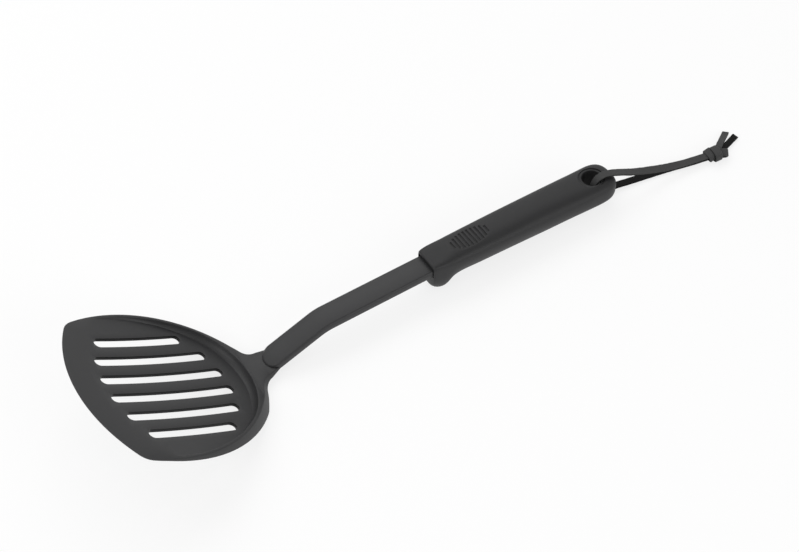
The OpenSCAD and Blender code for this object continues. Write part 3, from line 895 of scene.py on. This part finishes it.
def combine(target, other, operation):
    """Joins two closed meshes, or cuts the first with the second."""
    objects = [mesh_object("scratch", bm) for bm in (target, other)]
    cutter = objects[0].modifiers.new("cutter", "BOOLEAN")
    cutter.operation = operation
    cutter.solver = "EXACT"
    cutter.object = objects[1]
    shown = objects[0].evaluated_get(bpy.context.evaluated_depsgraph_get())
    result = bmesh.new()
    result.from_mesh(shown.to_mesh())
    bmesh.ops.dissolve_degenerate(result, dist=SLIVER, edges=result.edges)
    for scratch in objects:
        mesh = scratch.data
        bpy.data.objects.remove(scratch)
        bpy.data.meshes.remove(mesh)
    return result


def open_edges(bm):
    return sum(1 for e in bm.edges if len(e.link_faces) != 2)


blade, neck = blade_mesh(), neck_mesh()
print("open edges in blade and neck:", open_edges(blade), open_edges(neck))
head_mesh = combine(combine(blade, neck, "UNION"), tang_mesh(), "UNION")
print("open edges in the joined head:", open_edges(head_mesh))
make_piece("nylon_head", head_mesh, (nylon, slot_nylon_painted_shade), "turner", ("turner_head",))

# %% [markdown]
# ## The soft sleeve
# The sleeve is a row of rounded boxes whose width, height and squareness change along the handle. The
# table is that of the solids: where a section is, how wide it is and at what height, and its bottom and
# top with their squareness. A smooth curve runs through each column. A lattice could bend a plain
# box to this shape, but the table says what the handle really measures.

# %% Sleeve sections
HOLE_INSET = 14.7
# Distance from the front, half width, its height, bottom, bottom squareness, top, top squareness
SECTIONS = [
    (0, 8.7, 16, 5.4, 2.4, 24.5, 7), (1.2, 9, 16, 3.4, 2.4, 24.9, 8), (5, 9.6, 17, 0.2, 2.4, 25, 7),
    (9, 10.1, 18, 0, 2.4, 25.1, 5), (14, 10.4, 19, 3.3, 2, 25.4, 3.4), (20, 10.6, 19.2, 4, 1.8, 25.6, 3),
    (32, 11, 19.2, 3.5, 1.8, 25.6, 2.7), (55, 11.4, 18.8, 2.5, 1.8, 25.4, 2.6),
    (80, 11.8, 17.4, 1.6, 1.8, 25.1, 2.6), (100, 12.1, 16.2, 2.7, 2, 24.2, 2.8),
    (110, 12.2, 15.6, 4.1, 2.4, 23.5, 3), (HANDLE_L - HOLE_INSET, 12.1, 15.2, 4.8, 2.8, 23.1, 3.4),
]
SLEEVE_SIDES = 80
SLEEVE_STEP = 1.6
# The end's rings stop short of the pole, and a small flat closes them
END_RINGS, END_TURN_DEG = 18, 87
END_PLAN_ROUND, END_BOTTOM_ROUND, END_TOP_ROUND = 2.8, 5, 2.9
FRONT_ROUND = 0.7


def section_at(x):
    """The table's columns at a distance from the front."""
    last = len(SECTIONS) - 1
    k = max(j for j in range(last) if SECTIONS[j][0] <= x)
    run = SECTIONS[k + 1][0] - SECTIONS[k][0]
    u = (x - SECTIONS[k][0]) / run

    def slope(j, c):
        if j in (0, last):
            return 0
        return (SECTIONS[j + 1][c] - SECTIONS[j - 1][c]) / (SECTIONS[j + 1][0] - SECTIONS[j - 1][0])

    return [cubic(u, SECTIONS[k][c], SECTIONS[k + 1][c], run * slope(k, c), run * slope(k + 1, c))
            for c in range(1, 7)]


def section_ring(x, half_w, wide_z, bottom, bottom_sq, top, top_sq):
    """A rounded box, square to its own degree above and below its widest height."""
    points = []
    for turn in even_steps(0, 2 * pi, SLEEVE_SIDES)[:-1]:
        c, s = cos(turn), sin(turn)
        squareness, reach = (bottom_sq, wide_z - bottom) if s < 0 else (top_sq, top - wide_z)
        y = half_w * copysign(abs(c) ** (2 / squareness), c)
        z = wide_z + reach * copysign(abs(s) ** (2 / squareness), s)
        # The finger guard stands on the table, with a small flat there
        points.append(Vector((HANDLE_FRONT + x, y, max(0.0, z))))
    return points


def eased(u, roundness):
    return (1 - u ** roundness) ** (1 / roundness)


def front_rings():
    """Rings that round the sleeve's front edge."""
    rings = []
    for turn in (0, 30, 60, 90):
        x = FRONT_ROUND * (1 - cos(radians(turn)))
        inset = FRONT_ROUND * (1 - sin(radians(turn)))
        half_w, wide_z, bottom, bottom_sq, top, top_sq = section_at(x)
        rings.append(section_ring(x, half_w - inset, wide_z, bottom + inset, bottom_sq, top - inset, top_sq))
    return rings


def end_ring(u):
    """A ring round the end, where plan, top and bottom close in."""
    at, half_w, wide_z, bottom, bottom_sq, top, top_sq = SECTIONS[-1]
    return section_ring(at + HOLE_INSET * u, half_w * eased(u, END_PLAN_ROUND), wide_z,
                        wide_z - (wide_z - bottom) * eased(u, END_BOTTOM_ROUND), bottom_sq,
                        wide_z + (top - wide_z) * eased(u, END_TOP_ROUND), top_sq)


def sleeve_skin():
    middle = even_cuts(FRONT_ROUND, SECTIONS[-1][0], SLEEVE_STEP)
    rings = front_rings() + [section_ring(x, *section_at(x)) for x in middle]
    rings += [end_ring(sin(t)) for t in even_steps(0, radians(END_TURN_DEG), END_RINGS)]
    bm = bmesh.new()
    for end in pull_rings(bm, rings):
        cap_ring(bm, end)
    return faced_out(bm)


# %% [markdown]
# The sleeve is moulded over the core, so the core's room is cut out of it: a straight pocket, a mouth at the
# front for the shank, and a round hole for the eye, whose mouths are rounded. The thumb rest is a shallow
# scoop across the crowned top, which comes out lens-shaped, with ten grooves in it. They are cut with
# Booleans, because each cutter is simple and none of them lines up with the sleeve's rings.

# %% Cut the room for the core and the thumb rest
EYE_R = 7.8
CORE_W, CORE_BOTTOM, CORE_TOP = 15, 12, 22.2
MOUTH_GAP = 0.6
# The gap above the core is a little smaller than the one on its other sides
CORE_TOP_GAP = 0.09
EYE_MOUTH = 0.9
EYE_STEPS, FLARE_STEPS = 72, 6
# How far a cutter stands out of what it cuts
CUT_CLEAR = 5
THUMB_AT, THUMB_HALF_L, THUMB_HALF_W = 29.9, 13, 6
GROOVE_COUNT, GROOVE_W, GROOVE_DEPTH = 10, 1.3, 0.5
GROOVE_ROUND, GROOVE_BAR_H = 0.4, 3
SCOOP_DEPTH, SCOOP_R, SCOOP_HALF_L, SCOOP_H, SCOOP_STEPS = 0.65, 155, 17, 3, 48
THUMB_X, THUMB_TOP = HANDLE_FRONT + THUMB_AT, section_at(THUMB_AT)[4]


def mouth_cutter():
    """Room for the shank at the front, with a gap above it and at its sides."""
    half = SHANK_W / 2 + MOUTH_GAP
    return box_mesh(Vector((HANDLE_FRONT - CUT_CLEAR, -half, SHANK_TOP - SHANK_T - FIT_GAP)),
                    Vector((CORE_FRONT, half, CORE_TOP + MOUTH_GAP)))


def core_cutter():
    half = CORE_W / 2 + FIT_GAP
    return box_mesh(Vector((CORE_FRONT - FIT_GAP, -half, CORE_BOTTOM - FIT_GAP)),
                    Vector((HOLE_X, half, CORE_TOP + CORE_TOP_GAP)))


def eye_cutter():
    """A turned cutter that flares at both ends, for rounded mouths."""
    r, flare = EYE_R + FIT_GAP, EYE_MOUTH
    top, bottom = SECTIONS[-1][5], SECTIONS[-1][3]
    turns = even_steps(0, pi / 2, FLARE_STEPS)
    bends = [(r + flare * (1 - sin(t)), flare * (1 - cos(t))) for t in turns]
    profile = [(0, bottom - CUT_CLEAR), (r + flare, bottom - CUT_CLEAR)]
    profile += [(out, bottom + rise) for out, rise in bends]
    profile += [(out, top - rise) for out, rise in reversed(bends)]
    profile += [(r + flare, top + CUT_CLEAR), (0, top + CUT_CLEAR)]
    bm = bmesh.new()
    verts = start_ring(bm, [Vector((out, 0, z)) for out, z in profile], closed=False)
    bmesh.ops.spin(bm, geom=verts + ring_edges(bm, verts, closed=False), cent=(0, 0, 0), axis=(0, 0, 1),
                   angle=2 * pi, steps=EYE_STEPS, use_merge=True)
    bmesh.ops.remove_doubles(bm, verts=bm.verts, dist=1e-5)
    bmesh.ops.translate(bm, vec=(HOLE_X, 0, 0), verts=bm.verts)
    return faced_out(bm)


def scoop_z(x):
    """Bottom of the thumb scoop, a shallow round hollow."""
    return THUMB_TOP - SCOOP_DEPTH + SCOOP_R - sqrt(SCOOP_R ** 2 - x * x)


def scoop_cutter():
    bm = bmesh.new()
    steps = even_steps(-SCOOP_HALF_L, SCOOP_HALF_L, SCOOP_STEPS)
    side = [Vector((THUMB_X + x, -HANDLE_L, scoop_z(x))) for x in steps]
    side += [Vector((p.x, p.y, scoop_z(0) + SCOOP_H)) for p in reversed(side)]
    for end in pull_rings(bm, [side, [Vector((p.x, HANDLE_L, p.z)) for p in side]]):
        cap_ring(bm, end)
    return faced_out(bm)


def groove_reach(x):
    """Half a groove's length, which shrinks towards the ends of the thumb rest."""
    return THUMB_HALF_W * sqrt(1 - (x / THUMB_HALF_L) ** 2)


def groove_cutter():
    """Bars with round undersides."""
    bm = bmesh.new()
    pitch = 2 * THUMB_HALF_L / GROOVE_COUNT
    for k in range(GROOVE_COUNT):
        x = (k - (GROOVE_COUNT - 1) / 2) * pitch
        bar = bmesh.ops.create_cube(bm, size=1)["verts"]
        bmesh.ops.scale(bm, vec=(GROOVE_W, 2 * groove_reach(x), GROOVE_BAR_H), verts=bar)
        middle_z = scoop_z(x) - GROOVE_DEPTH + GROOVE_BAR_H / 2
        bmesh.ops.translate(bm, vec=(THUMB_X + x, 0, middle_z), verts=bar)
    low = [e for e in bm.edges if all(v.co.z < THUMB_TOP for v in e.verts)]
    round_edges(bm, low, GROOVE_ROUND, segments=3)
    return bm


def in_groove(place):
    """Whether a place lies in a groove, below the scoop and above the core's room."""
    x = place.x - THUMB_X
    return (abs(x) < THUMB_HALF_L and abs(place.y) < groove_reach(x)
            and CORE_TOP + 1 < place.z < scoop_z(x) - GROOVE_DEPTH / 3)


sleeve_mesh = sleeve_skin()
for cutter in (core_cutter(), mouth_cutter(), eye_cutter(), scoop_cutter(), groove_cutter()):
    sleeve_mesh = combine(sleeve_mesh, cutter, "DIFFERENCE")
print("open edges in the sleeve:", open_edges(sleeve_mesh))
# The grooves' faces take the darker elastomer, which is painted shade
groove_faces = [f for f in sleeve_mesh.faces if in_groove(f.calc_center_median())]
for face in groove_faces:
    face.material_index = 1
print("faces in the grooves:", len(groove_faces))
grips = (soft_grip, groove_grip_painted_shade)
make_piece("soft_sleeve", sleeve_mesh, grips, "turner", ("grip_sleeve",))

# %% [markdown]
# ## The core
# The hard core shows only at the handle's front and as the ring inside the hanging hole. The solid's shape
# is right, but its edges are sharp, and its faces are not joined there, so a Bevel modifier on it finds
# nothing to round. A copy is merged instead, its flat triangles are dissolved into whole faces, and its
# sharp edges get the small rounding that a mould leaves.

# %% Core
CORE_ROUND = 0.3
FLAT_DEG, SHARP_DEG = 1, 50


def make_core():
    bm = bmesh.new()
    bm.from_mesh(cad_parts["handle_core"].data)
    bmesh.ops.scale(bm, vec=(1 / MM, 1 / MM, 1 / MM), verts=bm.verts)
    bmesh.ops.remove_doubles(bm, verts=bm.verts, dist=SAME_POINT)
    bmesh.ops.dissolve_limit(bm, angle_limit=radians(FLAT_DEG), verts=bm.verts, edges=bm.edges)
    sharp = [e for e in bm.edges if e.calc_face_angle() > radians(SHARP_DEG)]
    round_edges(bm, sharp, CORE_ROUND)
    print("rounded edges and open edges in the core:", len(sharp), open_edges(bm))
    make_piece("hard_core", bm, (core_plastic,), "turner", ("handle_core",))


make_core()

# %% [markdown]
# ## Floor and light
# The photograph was taken on white, under broad light from behind, from the left and from the front. The
# floor is a pale matt plane. What the camera and reflections see of it and of the world is white, which
# Light Path tells apart from the light that falls on the tool, so the tool itself is lit at a plain
# level and the floor still takes its shadow.

# %% Floor, world and lamps
FLOOR_SIZE = 6.0
FLOOR_GREY = "#d8d8d8"
FLOOR_GLOW = 0.78
WORLD_LEVEL = 0.45
# Brightness of the world in reflections, low down and high up, and the heights between which it fades
HORIZON_LEVEL, ZENITH_LEVEL = 1.0, 0.4
FADE_FROM, FADE_TO = 0.1, 0.9
LAMP_WATTS = 6
# Name, place and diameter of each softbox, in metres
SOFTBOXES = [
    ("softbox_back", (0.55, 0.95, 1.35), 1.2), ("softbox_back_left", (-0.45, 0.95, 1.4), 1.2),
    ("softbox_left", (-1.3, -0.2, 1.0), 1.0), ("softbox_front", (0.4, -1.4, 0.7), 1.0),
]


def seen_ray(tree):
    """One for rays from the camera, a reflection or a transmission, otherwise zero."""
    rays = add_node(tree, "ShaderNodeLightPath").outputs
    seen = rays["Is Camera Ray"]
    for kind in ("Is Glossy Ray", "Is Transmission Ray"):
        both = {0: seen, 1: rays[kind]}
        seen = add_node(tree, "ShaderNodeMath", {"operation": "MAXIMUM"}, links=both).outputs[0]
    return seen


def make_floor():
    bm = bmesh.new()
    bmesh.ops.create_grid(bm, x_segments=1, y_segments=1, size=FLOOR_SIZE / 2)
    floor = mesh_object("floor", bm)
    # Matt white paper: seen directly it is a share of plain white, which lifts its shadows
    material = bpy.data.materials.new("white_paper_sweep")
    material.use_nodes = True
    tree = material.node_tree
    seen = seen_ray(tree)
    pale = add_node(tree, "ShaderNodeMix", {"data_type": "RGBA"},
                    {MIX_COLOUR_A: srgb(FLOOR_GREY), MIX_COLOUR_B: srgb("#ffffff")}, {"Factor": seen})
    paper = add_node(tree, "ShaderNodeBsdfDiffuse", links={"Color": pale.outputs[MIX_COLOUR_OUT]}).outputs[0]
    glow = add_node(tree, "ShaderNodeEmission").outputs[0]
    share = add_node(tree, "ShaderNodeMath", {"operation": "MULTIPLY"}, {1: FLOOR_GLOW}, {0: seen}).outputs[0]
    mixed = add_node(tree, "ShaderNodeMixShader", links={0: share, 1: paper, 2: glow})
    tree.links.new(tree.nodes["Material Output"].inputs["Surface"], mixed.outputs[0])
    floor.data.materials.append(material)


def make_world():
    """Even light for the tool; reflections see it white low down and dimmer above."""
    world = bpy.data.worlds.new("studio")
    world.use_nodes = True
    tree = world.node_tree
    direction = add_node(tree, "ShaderNodeTexCoord").outputs["Generated"]
    height = add_node(tree, "ShaderNodeSeparateXYZ", links={"Vector": direction}).outputs["Z"]
    fade = {"From Min": FADE_FROM, "From Max": FADE_TO, "To Min": HORIZON_LEVEL, "To Max": ZENITH_LEVEL}
    seen = add_node(tree, "ShaderNodeMapRange", values=fade, links={"Value": height})
    strength = add_node(tree, "ShaderNodeMapRange", values={"To Min": WORLD_LEVEL},
                        links={"Value": seen_ray(tree), "To Max": seen.outputs["Result"]})
    background = tree.nodes["Background"]
    background.inputs["Color"].default_value = (1, 1, 1, 1)
    tree.links.new(background.inputs["Strength"], strength.outputs["Result"])
    scene.world = world


def add_softbox(name, place, size):
    data = bpy.data.lights.new(name, "AREA")
    data.shape = "DISK"
    data.size = size
    data.energy = LAMP_WATTS
    lamp = add_object(name, data)
    lamp.location = place
    lamp.rotation_euler = Vector(place).to_track_quat("Z", "Y").to_euler()


make_floor()
make_world()
for softbox in SOFTBOXES:
    add_softbox(*softbox)
scene.view_settings.view_transform = "Standard"
